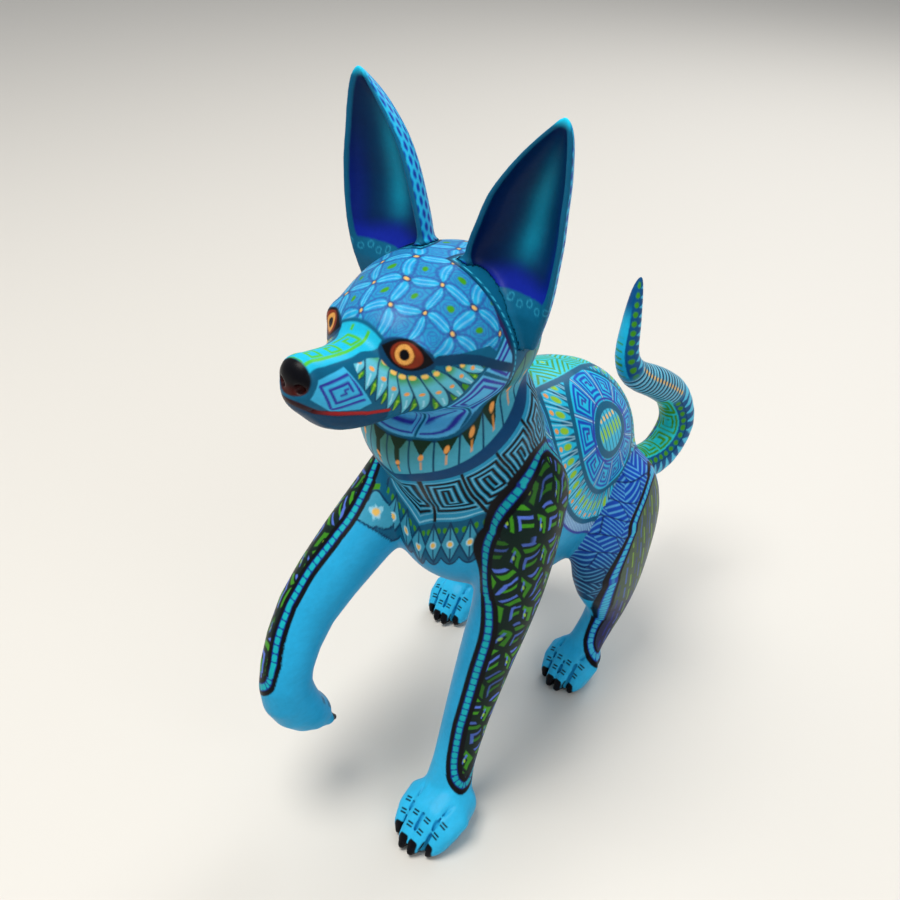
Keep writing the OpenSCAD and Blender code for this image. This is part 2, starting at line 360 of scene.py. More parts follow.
def make_mesh(name, pts, loops, sizes, colour, normal):
    """A smooth painted piece from points, face loops, face sizes, colours and normals."""
    me = bpy.data.meshes.new(name)
    me.vertices.add(len(pts))
    me.vertices.foreach_set("co", ((pts + OFF) / 1000).astype(np.float32).ravel())
    me.loops.add(len(loops))
    me.loops.foreach_set("vertex_index", loops.astype(np.int32))
    me.polygons.add(len(sizes))
    me.polygons.foreach_set("loop_start", (np.cumsum(sizes) - sizes).astype(np.int32))
    me.update(calc_edges=True)
    me.validate()
    me.polygons.foreach_set("use_smooth", np.ones(len(me.polygons), bool))
    at = me.color_attributes.new("paint", "FLOAT_COLOR", "POINT")
    rgba = np.ones((len(pts), 4), np.float32)
    rgba[:, :3] = colour
    at.data.foreach_set("color", rgba.ravel())
    me.normals_split_custom_set_from_vertices(normal.tolist())
    me.materials.append(PAINTED)
    return show(name, me)


# ---------- painting: distances in millimetres on the surface, laid over each other in layers ----------
def rgb(s):
    c = np.array([int(s[i:i + 2], 16) / 255 for i in (0, 2, 4)])
    return np.where(c <= 0.04045, c / 12.92, ((c + 0.055) / 1.055) ** 2.4)


INK = {k: rgb(v) for k, v in {
    "sky": "239bca", "pale": "8fd0e6", "cyan": "1cc4ea", "aqua": "3cb6d6", "surf": "4fc0e2", "ice": "a6dcee",
    "teal": "0a5a7c", "steel": "3c98b6", "deep": "07395a", "navy": "07174f", "blue": "1447b0",
    "cobalt": "0b4f86", "violet": "323a9c", "lilac": "5573d2", "plum": "2a2450", "black": "08080e",
    "bottle": "0d211c", "olive": "4d5f4c", "green": "3f8f1e", "lime": "93c433", "gold": "edbd62",
    "orange": "f0a050", "red": "a81e22", "rust": "7c2c18", "umber": "431612", "wood": "d9bd8f"}.items()}
EDGE = 0.4


def tint(ink):
    return INK[ink] if ink in INK else rgb(ink)


def cover(d):
    """1 inside a shape, 0 outside, with a brush-soft edge."""
    return np.clip(0.5 - d / EDGE, 0, 1)


def stroke(v, half):
    """1 on a line along v = 0 of this half width."""
    return cover(abs(v) - half)


def spot(u, v, radius):
    """1 on a round spot about u = v = 0."""
    return cover(np.hypot(u, v) - radius)


def box(u, v, a, b):
    """Distance to an upright rectangle about u = v = 0, of these half sizes."""
    return np.maximum(abs(u) - a, abs(v) - b)


def path(u, v, pts, closed=False):
    """Distance to a broken line, and how far along it the nearest point is."""
    best, run, s0 = np.full(len(u), 1e9), np.zeros(len(u)), 0.0
    for i in range(len(pts) if closed else len(pts) - 1):
        (ax, ay), (bx, by) = pts[i], pts[(i + 1) % len(pts)]
        dx, dy = bx - ax, by - ay
        size = math.hypot(dx, dy)
        t = np.clip(((u - ax) * dx + (v - ay) * dy) / (size * size), 0, 1)
        d = np.hypot(u - ax - t * dx, v - ay - t * dy)
        m = d < best
        best, run = np.where(m, d, best), np.where(m, s0 + t * size, run)
        s0 += size
    return best, run


def drawn(u, v, pts, half):
    """1 on a broken line of this half width."""
    return cover(path(u, v, pts)[0] - half)


def area_of(u, v, pts):
    """Signed distance to a closed outline, negative inside, and the run along it."""
    d, run = path(u, v, pts, True)
    odd = np.zeros(len(u), bool)
    for (ax, ay), (bx, by) in zip(pts, pts[1:] + pts[:1]):
        if ay != by:
            odd ^= ((ay > v) != (by > v)) & (u < (bx - ax) * (v - ay) / (by - ay) + ax)
    return np.where(odd, -d, d), run


def coil(w, h, g, n):
    """A square spiral that winds in from a w by h frame."""
    x0, x1, y0, y1 = -w / 2, w / 2, -h / 2, h / 2
    pts = [(x1, y0), (x0, y0), (x0, y1), (x1, y1)]
    for _ in range(n):
        x0, x1, y0, y1 = x0 + g, x1 - g, y0 + g, y1 - g
        pts += [(x1 + g, y0), (x0, y0), (x0, y1), (x1, y1)]
    return pts + [(x1, y0 + g)]


def rounded(pts, closed=True):
    """Cuts the corners of an outline twice, and keeps the ends of an open one."""
    for _ in range(2):
        pairs = zip(pts, pts[1:] + pts[:1] if closed else pts[1:])
        cut = [tuple(p * (1 - f) + q * f for p, q in zip(a, b)) for a, b in pairs for f in (0.25, 0.75)]
        pts = cut if closed else pts[:1] + cut + pts[-1:]
    return pts


def wrap(a, step):
    """Place in the nearest of equal cells, and that cell's number."""
    k = np.round(a / step)
    return a - k * step, k


def ease(v, a, b):
    t = np.clip((v - a) / (b - a), 0, 1)
    return t * t * (3 - 2 * t)


class Canvas:
    """Surface points with their normals, distances from the middle plane and colours."""

    def __init__(self, pts, nrm):
        self.p, self.n = pts, nrm
        self.c = np.tile(INK["sky"], (len(pts), 1))
        self.side = abs(pts[:, 0])

    def on(self, where=slice(None)):
        """A brush for all or some of the points."""
        return partial(self.put, where)

    def zone(self, own):
        """The numbers of some points, a brush for them, and their side, y and z."""
        at = np.where(own)[0]
        return at, self.on(at), self.side[at], self.p[at][:, 1], self.p[at][:, 2]

    def put(self, where, mask, ink):
        """Lays an ink, by name, hex or value, over the points where the mask is 1."""
        m = np.asarray(mask)[:, None]
        colour = tint(ink) if isinstance(ink, str) else ink
        self.c[where] = self.c[where] * (1 - m) + colour * m


# centre lines: x, y, z and radius
FRONT_LEFT = [(26, -14, 186, 17), (31, -24, 160, 17), (32.5, -30, 142, 18), (31.5, -36, 112, 16),
              (29, -46, 80, 13), (27.5, -56, 50, 10.5), (27.5, -64, 26, 9.5), (28, -68, 8, 9.5)]
FRONT_RIGHT = [(-24, -20, 178, 16), (-27, -30, 150, 16), (-28.5, -43, 134.5, 16), (-30.5, -66, 117.5, 15),
               (-32, -90, 98, 12.5), (-29, -105.5, 79, 11.5), (-26.5, -108, 65, 11.5), (-25, -102, 54, 10)]
HIND_LEFT = [(22, 56, 140, 20), (27, 53, 121, 20), (31, 49, 102, 22), (32, 49, 80, 18), (31, 52, 58, 13),
             (28.5, 53, 38, 10), (25.5, 46, 22, 8.5), (23.5, 41, 8, 8.5)]
HIND_RIGHT = [(-22, 56, 140, 20), (-27, 53, 121, 20), (-32, 49, 102, 22), (-37, 49, 80, 18),
              (-42.5, 51, 58, 13), (-47.5, 49.5, 38, 9.5), (-50.5, 43.5, 22, 8.5), (-52, 38.5, 8, 8.5)]
TAIL = [(3, 72, 100, 9), (4, 84, 96, 9.5), (6, 104, 88, 9.5), (8, 126, 87, 9.5), (9, 138.5, 100.5, 9.5),
        (7, 133.5, 118, 9), (5, 117.5, 131.5, 8.5), (1.5, 99.5, 143, 7.5), (0.2, 91.5, 156, 6),
        (0.2, 91.5, 173, 4.8), (0.6, 92.2, 189, 3), (1.3, 93, 197.5, 1.5)]
TAIL = rounded(TAIL, False)


def round_limb(pts, keys, side):
    """Run along a limb, distance round it from its outer side (forward is positive) and from its skin."""
    c = np.array([k[:3] for k in keys], float)
    r = np.array([k[3] for k in keys], float)
    at = np.concatenate([[0], np.cumsum(np.linalg.norm(np.diff(c, axis=0), axis=1))])
    e = np.full(len(pts), 1e9)
    s, q, tan, rr = np.zeros(len(pts)), np.zeros((len(pts), 3)), np.zeros((len(pts), 3)), np.ones(len(pts))
    for i in range(len(c) - 1):
        d = c[i + 1] - c[i]
        t = np.clip((pts - c[i]) @ d / (d @ d), 0, 1)
        near = c[i] + t[:, None] * d
        dist = np.linalg.norm(pts - near, axis=1)
        m = dist < e
        e = np.where(m, dist, e)
        s = np.where(m, at[i] + t * (at[i + 1] - at[i]), s)
        rr = np.where(m, r[i] + t * (r[i + 1] - r[i]), rr)
        q[m] = near[m]
        tan[m] = d / np.linalg.norm(d)
    out = np.array([side, 0, 0.0]) - (tan @ np.array([side, 0, 0.0]))[:, None] * tan
    out /= np.linalg.norm(out, axis=1, keepdims=True)
    front = np.cross(tan, out) * side
    v = pts - q
    return s, rr * np.arctan2((v * front).sum(1), (v * out).sum(1)), e - rr


def cubes(put, a, t, size):
    """Tumbling blocks of loose green and lilac strokes on near black."""
    put(np.ones(len(a)), "bottle")
    a = a + np.sin(t * 0.29 + 1) + 0.7 * np.sin(a * 0.5 + t * 0.17)
    t = t + np.sin(a * 0.43 + t * 0.11)
    dx, dy = size * math.sqrt(3), size * 3.0
    best, bu, bv, seed = np.full(len(a), 1e9), np.zeros(len(a)), np.zeros(len(a)), np.zeros(len(a))
    for ox, oy in ((0, 0), (dx / 2, dy / 2)):
        (u, i), (v, j) = wrap(a - ox, dx), wrap(t - oy, dy)
        m = np.hypot(u, v) < best
        best = np.minimum(best, np.hypot(u, v))
        bu, bv = np.where(m, u, bu), np.where(m, v, bv)
        seed = np.where(m, i * 12.9 + j * 78.2 + ox, seed)
    turn = (np.degrees(np.arctan2(bu, bv)) + 360) % 360
    face = (turn // 120).astype(int)
    for k in range(3):
        mid = math.radians(k * 120 + 60)
        along, across = bu * math.sin(mid) + bv * math.cos(mid), bu * math.cos(mid) - bv * math.sin(mid)
        p, q = along / size + across / (1.732 * size), along / size - across / (1.732 * size)
        luck = abs(np.sin(seed + k * 37.7)) * 0.6 + 0.4
        pick = (face == k) * luck
        low, high = np.minimum(p, q), np.maximum(p, q)
        bar = np.maximum(abs(low - 0.27) - 0.13, high - 0.88) * size
        slim = box(p - 0.66, q - 0.55, 0.07, 0.28) * size
        if k == 1:
            bar = box(q - 0.25, p - 0.5, 0.13, 0.36) * size
            slim = box(q - 0.62, p - 0.5, 0.09, 0.3) * size
        if k == 2:
            bar, slim = slim - 0.2, np.maximum(abs(low - 0.25) - 0.08, high - 0.85) * size
        put(pick * cover(bar), "green")
        put(pick * cover(slim), "lilac")
        put(pick * cover(np.hypot(p - 0.6, q - 0.6) * size - 0.9) * (k == 0), "lime")


def beads(put, d, run, lo, hi, step, ink, ground):
    """A strip between two distances from an outline, filled with rounded cells."""
    strip = stroke(d + (lo + hi) / 2, (hi - lo) / 2)
    put(strip, ground)
    u, _ = wrap(run, step)
    v = d + (lo + hi) / 2
    half = (hi - lo) / 2 - 0.35
    cell = box(u, v, step / 2 - 0.45, half) + np.hypot(u / step, v / half) * 0.5 - 0.45
    put(strip * cover(cell), ink)


def leg_panel(cv, own, keys, side, outline, hind=False):
    """A dark panel in a beaded strip on a leg's outer side, with hatching before it on a thigh."""
    near = np.where(own)[0]
    t, a, off = round_limb(cv.p[near], keys, side)
    good = (off < (18 if hind else 7)) & (t > 1)
    near, t, a = near[good], t[good], a[good]
    put = cv.on(near)
    y, z = cv.p[near][:, 1], cv.p[near][:, 2]
    d, run = area_of(a, t, outline)
    if hind:
        # the front of the thigh: triangles of pale hatching on indigo, plain below the knee
        zone = cover(np.maximum(t - 74 + a * 0.16, -d)) * cover(8 - t) * cover(a - 50)
        put(zone, "blue")
        # painted shade: the indigo turns deep towards the bottom of the thigh
        put(zone * ease(-z, -112, -80) * 0.95, "deep")
        put(zone * ease(y, 46, 60) * 0.5, "violet")
        v = z + y * 0.3 + np.sin(y * 0.2) * 1.5
        row, k = wrap(v, 9.0)
        fan, _ = wrap(y + k * 6 + row * np.where(k % 2 == 0, 0.4, -0.4), 17)
        lean = np.where(fan > 0, 1.0, -0.75)
        hatch, _ = wrap(row * 0.85 + y * lean * 0.75 + k * 1.3, 2.15)
        # painted shade: the pale hatching fades towards the bottom of the thigh
        put(zone * stroke(hatch, 0.34) * (0.85 - 0.3 * ease(-z, -112, -80)), "5cb2e0")
        put(zone * cover(np.minimum(abs(fan) + 0.1, 4.5 - abs(row)) - 0.35) * 0.8, "navy")
        put(stroke(t - 75 + a * 0.16, 1.4) * cover(-d) * cover(a - 50), "deep")
        put(cover(d), "black")
        beads(put, d, run, 2.1, 5.2, 3.3, "aqua", "blue")
        put(cover(d + 6.4), "olive")
        put(cover(d + 6.4) * ease(t, 78, 92) * 0.85, "plum")
        streak, k = wrap(a + t * 0.22, 3.3)
        dash, _ = wrap(t + k * 5, 13)
        for ink, phase in (("violet", 0), ("lime", 1), ("lilac", 2)):
            put(cover(d + 7.4) * (k % 3 == phase) * stroke(streak, 0.45) * stroke(dash, 5) * 0.6, ink)
    else:
        put(cover(d), "black")
        beads(put, d, run, 2.1, 5.3, 3.3, "12a3ac", "12348a")
        core = d < -7.0
        cubes(cv.on(near[core]), a[core], t[core], 8.8)
        put(stroke(d + 6.6, 0.9), "black")


def paws(cv):
    """Claws, and two pairs of short bars over each toe."""
    for toe in [toe for name in PAWS for toe in toes(name)] + RAISED:
        base, _, tip, _, claw, r = toe
        near = np.where(np.linalg.norm(cv.p - (base + claw) / 2, axis=1) < 22)[0]
        put = cv.on(near)
        along = (claw - base) / np.linalg.norm(claw - base)
        s = (cv.p[near] - tip) @ along
        flank = np.cross(along, (0, 0, 1))
        flank /= np.linalg.norm(flank)
        side = (cv.p[near] - tip) @ flank
        own = stroke(side, r * 0.34)
        for bar in (-3.0, -4.4, -8.4, -9.8):
            put(own * stroke(s - bar, 0.36) * (cv.n[near][:, 2] > -0.1), "black")
        put(spot(side, np.minimum(s - 2.2, 0), 2.3) * cover(0.6 - s), "black")


def leaf(put, u, v, base, tip, wide, inks):
    """A pointed leaf with a dark edge, a tinted foot, a rib and a dot."""
    (ax, ay), (bx, by) = base, tip
    size = math.hypot(bx - ax, by - ay)
    t = ((u - ax) * (bx - ax) + (v - ay) * (by - ay)) / size
    x = ((u - ax) * (by - ay) - (v - ay) * (bx - ax)) / size
    f = np.clip(t / size, 0, 1)
    shape = np.maximum(abs(x) - wide * np.sin(np.pi * f ** 0.75) ** 0.7, abs(t - size / 2) - size / 2)
    put(cover(shape - 0.3), "deep")
    put(cover(shape + 0.15), inks[0])
    put(cover(shape + 0.2) * (1 - ease(f, 0.12, 0.34)) * 0.9, inks[1])
    put(cover(box(x, (f - 0.72) * size, 0.2, 2.2)) * cover(shape), inks[3])
    put(spot(x, t - size * 0.46, wide * 0.42), inks[2])


def beyond(at, way, along, aside):
    """A point moved along a way and to its left, in shares of its length."""
    return at[0] + way[0] * along - way[1] * aside, at[1] + way[1] * along + way[0] * aside


JAW = rounded([(-42.3, 229.9), (-46, 228), (-51, 223), (-54.5, 218.5), (-57.5, 213), (-61, 208), (-65, 203),
               (-69, 199), (-76, 196)], False)


def jaw(y, z):
    """Distance to the jaw line, run along it and the half width of the band there."""
    d, run = path(y, z, JAW)
    return d, run, np.interp(run, [12, 22, 30, 38, 46], [6.5, 9.5, 9.3, 7.2, 5.0])


# ear rows: height, inner rim, outer rim, rim place, depth of the back
EAR = np.array([(226, 14, 39.5, -45, 12), (238, 10, 43.8, -46.5, 15), (247, 9, 46, -47, 16),
                (256, 10, 47.2, -47, 15.5), (266, 13.5, 48, -46.5, 15), (275, 17, 48, -46, 14),
                (283, 22, 47.8, -45, 12.5), (290, 27.5, 47.4, -44.5, 10.5), (296, 33, 46.8, -44, 8),
                (301, 38, 45.8, -43.5, 4.5), (304.8, 41.5, 44, -43, 1)], float)


def ear_row(z):
    """Inner rim, outer rim, rim place and depth of the ear at this height."""
    return [np.interp(z, EAR[:, 0], EAR[:, k]) for k in (1, 2, 3, 4)]


def ear_gap(x, y, z):
    """Distance on the head from the foot of the ear above it."""
    z = np.maximum(z, 226)
    a, b, rim, depth = ear_row(z)
    f = (x - a) / (b - a) * 2 - 1
    back = np.hypot(f, np.maximum(y - rim, 0) / depth)
    return np.maximum((back - 1) * (b - a) / 2, rim - y)


def face(cv, own):
    """The head's painting; zt keeps the true height, as z is drawn down towards the nose."""
    at, put, x, y, z = cv.zone(own)
    zt, z = z, z - 2.3 * ease(-y, 84, 99)
    # crown: circles that overlap like petals, with a gold dot where four of them meet
    roll = np.arctan2(cv.p[at][:, 0], z - 214) * 33
    put(np.ones(len(at)), "2389b8")
    tilt = math.radians(24)
    gu = roll * math.cos(tilt) + (y + 49) * math.sin(tilt)
    gv = -roll * math.sin(tilt) + (y + 49) * math.cos(tilt)
    gu, gv = gu + 0.7 * np.sin(gv * 0.41) + 0.4 * np.sin(gu * 0.83 + 1), gv + 0.7 * np.sin(gu * 0.37 + 2)
    d = 11.4
    (u, i), (v, j) = wrap(gu, d), wrap(gv, d)
    d0, d1, d2 = np.hypot(u, v), np.hypot(abs(u) - d, v), np.hypot(u, abs(v) - d)
    r = d / math.sqrt(2)
    petal = cover(np.minimum(np.maximum(d0, d1), np.maximum(d0, d2)) - r + 0.7)
    dot = np.hypot(abs(u) - d / 2, abs(v) - d / 2)
    for dist, step in ((dot, 1.75), (d0, 2.05)):
        put(stroke(wrap(dist, step)[0], 0.2) * 0.5, "violet")
    put(petal, "1f9fce")
    put(petal * ease(dot, 3.2, 5.2) * 0.25, "blue")
    rib = np.minimum(abs(abs(u) - d / 2), abs(abs(v) - d / 2))
    put(petal * stroke(rib - 0.75, 0.2) * 0.3, "ice")
    ring = np.minimum(abs(d0 - r), np.minimum(abs(d1 - r), abs(d2 - r)))
    put(cover(ring - 0.36) * 0.7, "2a4f96")
    put(cover(d0 - 1.2) * (abs(np.sin(i * 3.1 + j * 5.3)) > 0.45), "green")
    put(cover(dot - 1.3) * 0.75, "plum")
    put(cover(dot - 0.65) * 0.8, "gold")
    # painted shade: the back of the crown is darkened towards the foot of each ear
    put(ease(y, -52, -38) * ease(x, 14, 30) * 0.35, "deep")
    # cheek: a fan of leaves under the eye
    cheek = [(-94, 238), (-84, 232), (-75.5, 230), (-63, 227.5), (-57, 222), (-61, 215), (-64, 206),
             (-75, 204.5), (-90, 208), (-97, 214), (-101, 231)]
    d, _ = area_of(y, z, cheek)
    low = cover(np.maximum(z - 231, y + 44)) * cover(-(z - 231) - 60)
    put(low * cover(y + 50 + (z - 222) * 0.9), "teal")
    put(cover(d), "teal")
    fan = [((-93, 231.2), (-98.6, 226.5)), ((-89.9, 230.9), (-96.6, 221.5)), ((-88.2, 228.4), (-93.3, 217.5)),
           ((-87, 225.5), (-89, 213.5)), ((-85, 224), (-82.5, 209.5)), ((-82.5, 223.5), (-76, 208.5)),
           ((-79.5, 224), (-70.5, 209.5)), ((-76.5, 225), (-66.5, 213)), ((-73, 226.5), (-64.5, 219)),
           ((-68.5, 227), (-61, 223))]
    for b, t in fan:
        way = (t[0] - b[0], t[1] - b[1])
        tip = beyond(t, way, 0.1, 0.2)
        leaf(put, y, z, beyond(b, way, 0.5, 0.17), tip, 1.1, ("green", "green", "lime", "lime"))
    for b, t in fan:
        way = (t[0] - b[0], t[1] - b[1])
        b = beyond(b, way, -0.2, 0)
        leaf(put, y, z, b, beyond(t, way, 0.06, 0), 1.75, ("5db9cf", "green", "orange", "ice"))
        put(spot(y - b[0] - way[0] * 0.12, z - b[1] - way[1] * 0.12, 0.85), "gold")
    # muzzle: cyan top with a green key, side panels with a blue spiral
    snout = cover(y + 84)
    put(snout * cover(y + 97 + (232 - z) * 0.15), "teal")
    top = np.maximum(x - (5.9 + ease(y, -93, -86) * 3.0), 228.5 - z)
    top = np.maximum(top, np.maximum((z - 238.2 + 0.035 * x * x) * 0.6, y + 84))
    top = np.maximum(top, -y - 114.5)
    put(cover(top - np.where(z > 234.5, 0.7, 2.4)) * cover(229 - z), "teal")
    put(cover(top), "1cb2d6")
    u, _ = wrap(y + 100, 8.4)
    hook = [(-3.4, -4.2), (-3.4, 2.6), (2.2, 2.6), (2.2, -1.4), (-1.2, -1.4), (-1.2, 0.6)]
    zig = path(cv.p[at][:, 0], u, hook)[0]
    zag = path(cv.p[at][:, 0], u, [(3.6, -4.2), (3.6, 4.2)])[0]
    put(cover(top + 0.4) * cover(np.minimum(zig, zag) - 0.6), "4cb53c")
    panel = [(-112.5, 229.5), (-101.5, 229.5), (-95, 216), (-99, 214.6), (-109, 217), (-115.5, 223.5)]
    d, _ = area_of(y, z, panel)
    side = cover(3.0 - x)
    put(cover(d) * side, "3cb0dc")
    u, v = y + 105 + (z - 222.6) * 0.35, z - 222.6
    for pts, w in ((coil(11.5, 9.6, 2.2, 1), 0.5), ([(-1, -0.5), (1, -0.5), (1, 0.8), (2.4, 0.8)], 0.4)):
        put(cover(d + 0.5) * side * drawn(u, v, pts, w), "violet")
    # jaw band of blue spirals, from the corner of the jaw round under the chin
    dj, run, half = jaw(y, z)
    dj = dj / half
    put(cover((dj - 1.14) * half), "teal")
    put(cover((dj - 0.97) * half), "55b0de")
    below = np.where(area_of(y, z, JAW + [(-76, 150), (10, 150), (10, 232)])[0] < 0, -1, 1)
    u, _ = wrap(np.minimum(run, 32) + np.maximum(25 - x, 0) * 1.4 - 26, 17.5)
    thin = 0.6 - 0.25 * ease(-x, -25, -18)
    put(cover((dj - 0.95) * half) * drawn(u, dj * below * 7.2, coil(13.6, 11, 2.3, 1), thin), "violet")
    put(cover((dj - 0.97) * half) * cover(8.1 - abs(u)), "teal")
    # dark bands that frame the crown
    for pts, w, ink in (
            ([(-76, 230.2), (-69, 229.3), (-63, 227.4), (-56, 223.6), (-48, 219.5), (-40, 215.4)], 1.7,
             "deep"),
            ([(-45, 250), (-45.5, 240), (-45, 232), (-42, 223), (-39.5, 214), (-34, 205)], 1.9, "deep"),
            ([(-47.8, 247), (-48.4, 240), (-47.9, 232), (-45.4, 223)], 0.35, "aqua"),
            ([(-49.5, 244), (-51, 236), (-49.8, 229), (-47, 222)], 0.8, "plum")):
        put(cover(16 - x) * drawn(y, z, pts, w), ink)
    rim = ear_gap(x, y, zt)
    put(cover(rim - 3.4), "teal")
    put(stroke(rim - 3.6, 0.5), "deep")
    put(stroke(rim - 2.2, 0.25) * stroke(wrap(zt + y, 2.2)[0], 0.7), "aqua")
    # mouth and chin
    mouth = [(-119.5, 222.2), (-118.4, 221.8), (-113.2, 217.8), (-106.4, 215.2), (-96, 212), (-88.5, 212.4)]
    dm, run = path(y, z, mouth)
    under = area_of(y, z, mouth + [(-84, 196), (-119.5, 196)])[0]
    put(cover(under), "deep")
    put(cover(dm - 0.85), "2c0f18")
    put(cover(dm - 0.62) * ease(run, 5, 16), "red")
    # nose
    nose = np.linalg.norm((cv.p[at] - (0, -115.6, 231.2)) / (6.9, 4.8, 5.9), axis=1)
    put(cover((nose - 1.02) * 4.5), "black")
    put(cover((nose - 1.02) * 4.5) * ease(-zt, -230, -226) * 0.8, "umber")
    hole = np.linalg.norm(np.stack([x - 3.9, y + 117, z - 226.5], -1), axis=1)
    put(cover((nose - 1.0) * 6) * ease(-zt, -231, -227) * 0.8, "umber")
    put(cover(hole - 1.7), "black")
    # eyes
    e1 = np.array([0.783, 0.572, -0.247])
    e2 = np.array([0.2, 0.146, 0.969])
    rel = np.stack([x, y, z], -1) - np.array([17.0, -82.2, 232.3])
    u, v = rel @ e1, rel @ e2
    ok = np.linalg.norm(rel, axis=1) < 13
    lid = np.hypot(u / 9.6, (v + 1.0) / 5.4) - 1
    put(ok * cover(lid * 5), "deep")
    almond = abs(v + 0.3) - 4.6 * np.clip(1 - abs(u / 8.8) ** 2.2, -9, 1)
    put(ok * cover(almond), "black")
    put(ok * cover((np.hypot((u + 0.2) / 5.4, (v + 0.3) / 3.9) - 1) * 3.7) * cover(almond + 0.6), "rust")
    iris = np.hypot(u + 1.0, v + 0.3)
    put(ok * cover(iris - 3.7) * cover(almond + 0.3), "702c12")
    put(ok * cover(iris - 3.1) * (0.72 + 0.28 * np.cos(np.arctan2(v, u + 1.0) * 14) ** 2), "dfa050")
    put(ok * cover(iris - 1.7), "black")


# the neck's bands end this far below the middle of the collar's ring, the last ones this many degrees
# to each side of the chest
RING, KEYS, PENDANTS = 2.5, 32.5, 50
CHEST_SIDE = 67.5


def neck(cv, own, arm):
    """Bands round the neck and over the chest; arm is 1 on the legs."""
    at, put, x, y, z = cv.zone(own)
    p = cv.p[at]
    ring = (z - 187 - 0.75 * (y + 55.5) + 0.02 * np.maximum(18 - x, 0) ** 2) * 0.8
    deg = np.degrees(np.arctan2(p[:, 0], -(y + 30)))
    size = np.hypot(p[:, 0], y + 30)
    # tabs above the ring, with dark points under the jaw
    free = area_of(y, z, JAW + [(-84, 196), (-84, 140), (30, 140), (30, 232)])[0] + jaw(y, z)[2] * 1.12
    tab = cover(np.maximum(ring - 38, free)) * cover(-ring)
    put(tab, "deep")
    # the tabs turn from teal to olive towards the jaw, their own colour; both inks are painted darker as the
    # shade under the head
    tone = ease(ring, 4, 18)[:, None]
    put(tab * cover(free + 0.6), rgb("45a0b8") * (1 - tone) + rgb("3f7c6c") * tone)
    u, _ = wrap(deg - 6, 12)
    w = abs(np.radians(u) * size)
    cell = np.radians(12) * size / 2
    put(tab * cover((cell - w) - 0.35), "deep")
    put(tab * cover(-free - 5.6 + w * 1.5) * stroke(deg - 12, 52), "12301f")
    put(tab * spot(w, ring - 8.6, 1.0), "orange")
    put(tab * cover(box(w, ring - 5.6, 0.4, 1.5)) * 0.7, "orange")
    # the ring itself
    put(stroke(ring, RING), "0a3f6b")
    # square spirals below it
    keys = cover(ring + RING) * cover(-ring - KEYS)
    put(keys, "238eb6")
    put(keys * stroke(ring + 31.4, 0.25), "pale")
    lean = np.sign(deg) * 0.9 * (ease(abs(deg), 15, 65) - ease(abs(deg), 95, 145))
    joints = [-180, -156, -134, -112, -92, -72, -36, 15.8, 42.3, 65.5, 84, 102, 120, 138, 158, 180]
    u = np.interp(deg + lean * (ring + 15), joints, np.arange(16)) % 1 - 0.5
    v = ring + 16.8
    line = path(u * 17, v, coil(13, 22, 2.7, 2))[0]
    put(keys * stroke(line - 1.36, 0.15) * 0.7, "pale")
    put(keys * cover(line - 0.66), "black")
    put(keys * cover(7.8 - abs(u * 17)), "black")
    # pendants hang under the keys
    u, _ = wrap(deg, 15)
    w = abs(np.radians(u) * size)
    edge = -PENDANTS + (w / (np.radians(7.5) * size)) ** 2 * 3.5
    pend = cover(ring + KEYS) * cover(edge - ring) * stroke(deg, CHEST_SIDE)
    put(pend, "teal")
    # a flower takes their place over the raised leg
    raised = arm[at] * (p[:, 0] < 0) * cover(ring + KEYS)
    bloom = p - (-20.8, -59.8, 136.6)
    spin = np.arctan2(bloom[:, 0] + bloom[:, 1], bloom[:, 2])
    reach = np.linalg.norm(bloom, axis=1)
    petals = reach - 7.5 - 1.5 * np.cos(spin * 3)
    put(raised * cover(petals), "steel")
    put(raised * stroke(petals, 0.5), "deep")
    put(raised * cover(reach - 2.7 - 0.7 * np.cos(spin * 5)), "pale")
    put(raised * cover(reach - 1.6), "gold")
    put(raised * stroke(reach - 10.5, 1.2) * (np.cos(spin * 4) > 0.2), "green")
    pend = pend * (1 - arm[at] * (p[:, 0] < 0))
    put(pend * cover(w - 3.6 + abs(ring + 41) * 0.5), "steel")
    put(pend * spot(abs(w - 2.2) * 1.1, ring + 35.8, 1.1), "green")
    put(pend * stroke(w - 3.9 + abs(ring + 41) * 0.5, 0.4), "deep")
    put(pend * cover(w - 0.3) * stroke(ring + 41, 7), "deep")
    put(pend * spot(w, ring + 41, 1.5), "ice")
    put(pend * spot(w, ring + 41, 1.0), "gold")
    put(stroke(ring - edge, 0.55) * stroke(deg, CHEST_SIDE), "deep")
    # it ends in a line over the top of each front leg
    q = np.where(p[:, 0] < 0, y + 0.84 * z - 46.5, y + 52 + (z - 140) * 0.4)
    put(arm[at] * cover(q), "sky")
    put(arm[at] * stroke(q, 0.6) * cover(edge - ring), "deep")


def spoke(q, half, r):
    """Distance from the edges of a cell that is half degrees to each side, at radius r."""
    return abs(abs(q) - half) * np.radians(1) * r


# outer radii of the flank's rings
OVAL, CELLS, DISC, RAYS, STRIP, FRETS = 12.4, 25.6, 28, 40, 46, 58


